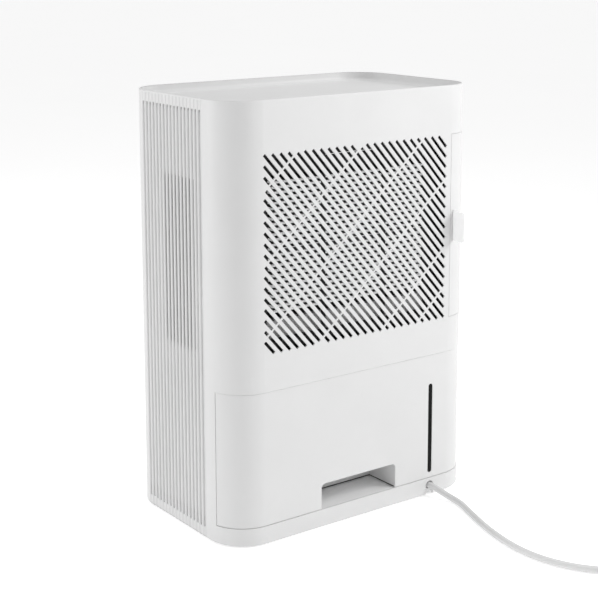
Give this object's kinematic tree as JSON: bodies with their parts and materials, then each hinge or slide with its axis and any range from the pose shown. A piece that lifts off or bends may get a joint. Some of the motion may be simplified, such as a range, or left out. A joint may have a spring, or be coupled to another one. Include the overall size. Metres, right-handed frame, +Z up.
{
  "type": "dehumidifier",
  "caption": "Upright compressor dehumidifier with slotted sides, a diagonal rear intake grille, a rear pull-out water tank, a side-pull air filter and a supply lead.",
  "frame": {"origin": "on the floor under the middle of the machine's bounding box, its filter tab included and its supply lead left out", "axes": "+Z up; +Y towards the rear, which has the intake grille and the water tank; +X towards the machine's right-hand side seen from the front, which is on the left when its rear is looked at"},
  "size_m": [0.4558, 0.5562, 0.5],
  "materials": {
    "white_abs": "moulded white ABS with a fine satin texture",
    "inner_abs": "black moulded ABS inside the machine",
    "fan_polypropylene": "dark grey moulded polypropylene",
    "tank_polypropylene": "translucent natural polypropylene",
    "tab_polypropylene": "thin milky polypropylene",
    "smoked_lens": "smoked clear plastic",
    "filter_net": "fine black nylon net",
    "rubber": "black moulded rubber",
    "aluminium_fins": "bare aluminium fin stock",
    "copper": null,
    "black_enamel": "black enamelled steel",
    "zinc_steel": "zinc plated steel",
    "circuit_board": "green glass-epoxy circuit board",
    "float_foam": "closed-cell foam",
    "lead_pvc": "pale grey-white PVC",
    "plug_brass": "nickel-plated brass"
  },
  "bodies": {
    "cabinet": {"front_cover": "white_abs", "rear_cover": "white_abs", "top_cover": "white_abs", "base_pan": "white_abs", "lead_gland": "white_abs", "humidity_sensor": "white_abs", "drip_tray": "white_abs", "control_bezel": "inner_abs", "tank_bay_deck": "inner_abs", "divider_wall": "inner_abs", "coil_shroud": "inner_abs", "fan_scroll": "inner_abs", "fan_inlet_plate": "inner_abs", "electrics_box": "inner_abs", "float_switch": "inner_abs", "lead_clamp": "inner_abs", "display_lens": "smoked_lens", "foot_1": "rubber", "foot_2": "rubber", "foot_3": "rubber", "foot_4": "rubber", "compressor_grommet_1": "rubber", "compressor_grommet_2": "rubber", "compressor_grommet_3": "rubber", "evaporator": "aluminium_fins", "condenser": "aluminium_fins", "discharge_pipe": "copper", "suction_pipe": "copper", "liquid_pipe": "copper", "capillary_pipe": "copper", "filter_drier": "copper", "compressor": "black_enamel", "fan_motor": "zinc_steel", "compressor_stud_1": "zinc_steel", "compressor_stud_2": "zinc_steel", "compressor_stud_3": "zinc_steel", "run_capacitor": "zinc_steel", "control_board": "circuit_board", "supply_lead": "lead_pvc", "plug_lead": "lead_pvc", "lead_coil": "lead_pvc", "lead_plug": "lead_pvc", "plug_blade_1": "plug_brass", "plug_blade_2": "plug_brass", "plug_earth_pin": "plug_brass"},
    "tank": {"tank_panel": "white_abs", "level_window": "smoked_lens", "tank_bucket": "tank_polypropylene", "tank_lid": "tank_polypropylene", "float_pin": "zinc_steel"},
    "float": {"tank_float": "float_foam"},
    "filter": {"filter_frame": "inner_abs", "filter_net": "filter_net", "filter_cover": "white_abs", "filter_tab": "tab_polypropylene"},
    "fan": {"fan_wheel": "fan_polypropylene", "fan_shaft": "zinc_steel"},
    "button_power": {"button_1": "white_abs"},
    "button_mode": {"button_2": "white_abs"},
    "button_timer": {"button_3": "white_abs"}
  },
  "joints": [
    {"name": "tank_slide", "type": "slide", "parent": "cabinet", "child": "tank", "axis": [0, 1, 0], "range_m": [0, 0.105]},
    {"name": "float_hinge", "type": "hinge", "parent": "tank", "child": "float", "pos_m": [0.148, 0.0023, 0.151], "axis": [0, 1, 0], "range_deg": [0, 18]},
    {"name": "filter_slide", "type": "slide", "parent": "cabinet", "child": "filter", "axis": [-1, 0, 0], "range_m": [0, 0.27]},
    {"name": "fan_spin", "type": "hinge", "parent": "cabinet", "child": "fan", "pos_m": [-0.02, -0.01, 0.3115], "axis": [0, 1, 0], "continuous": true},
    {"name": "press_power", "type": "slide", "parent": "cabinet", "child": "button_power", "axis": [0, 1, 0], "range_m": [0, 0.0012], "stiffness_N_per_m": 300, "springref_m": -0.002},
    {"name": "press_mode", "type": "slide", "parent": "cabinet", "child": "button_mode", "axis": [0, 1, 0], "range_m": [0, 0.0012], "stiffness_N_per_m": 300, "springref_m": -0.002},
    {"name": "press_timer", "type": "slide", "parent": "cabinet", "child": "button_timer", "axis": [0, 1, 0], "range_m": [0, 0.0012], "stiffness_N_per_m": 300, "springref_m": -0.002}
  ]
}
